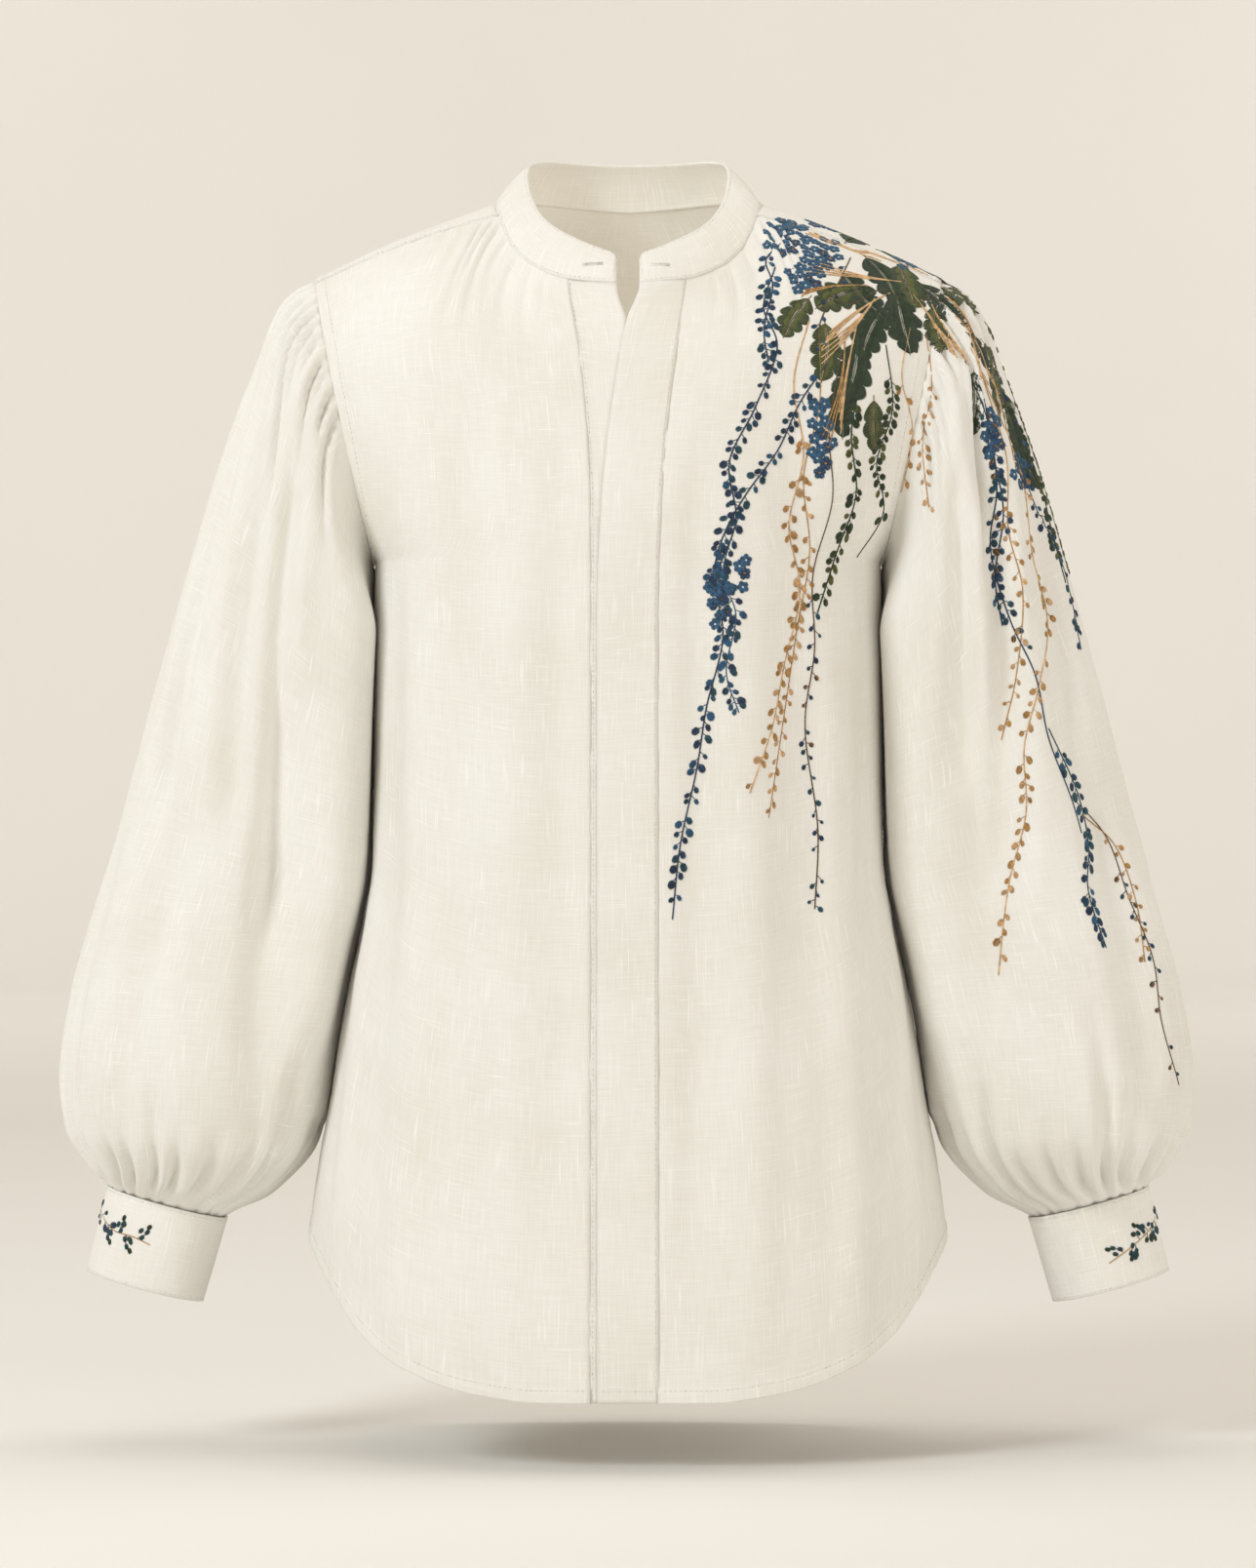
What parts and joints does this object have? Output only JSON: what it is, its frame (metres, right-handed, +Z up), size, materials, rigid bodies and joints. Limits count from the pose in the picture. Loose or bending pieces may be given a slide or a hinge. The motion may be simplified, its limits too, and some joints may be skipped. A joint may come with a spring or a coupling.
{
  "type": "embroidered linen shirt with full sleeves",
  "caption": "Hollow long-sleeved linen shirt with stand collar, hidden button front, forward yoke, gathered bishop sleeves, band cuffs and a curved shirt-tail hem, shown filled out.",
  "frame": {"origin": "middle of the neck opening's base, level with the shoulders' neck points, where the wearer's shoulders hold the shirt up", "axes": "+X towards the wearer's left side, -Y towards the front, +Z up"},
  "size_m": [0.7226, 0.2531, 0.7873],
  "materials": {
    "linen": "matt ivory plain-weave linen with slubs",
    "button_shell": "pale satin shell look",
    "thread_blue": "stranded cotton embroidery thread, blues",
    "thread_green": "stranded cotton embroidery thread, greens",
    "thread_gold": "stranded cotton embroidery thread, tans and golds"
  },
  "bodies": {
    "root": {"front_left": "linen", "front_right": "linen", "placket_over": "linen", "placket_under": "linen", "back": "linen", "yoke": "linen", "collar_band": "linen", "sleeve_left": "linen", "sleeve_right": "linen", "cuff_left": "linen", "cuff_right": "linen", "cuff_button_left": "button_shell", "cuff_button_right": "button_shell"}
  },
  "joints": []
}
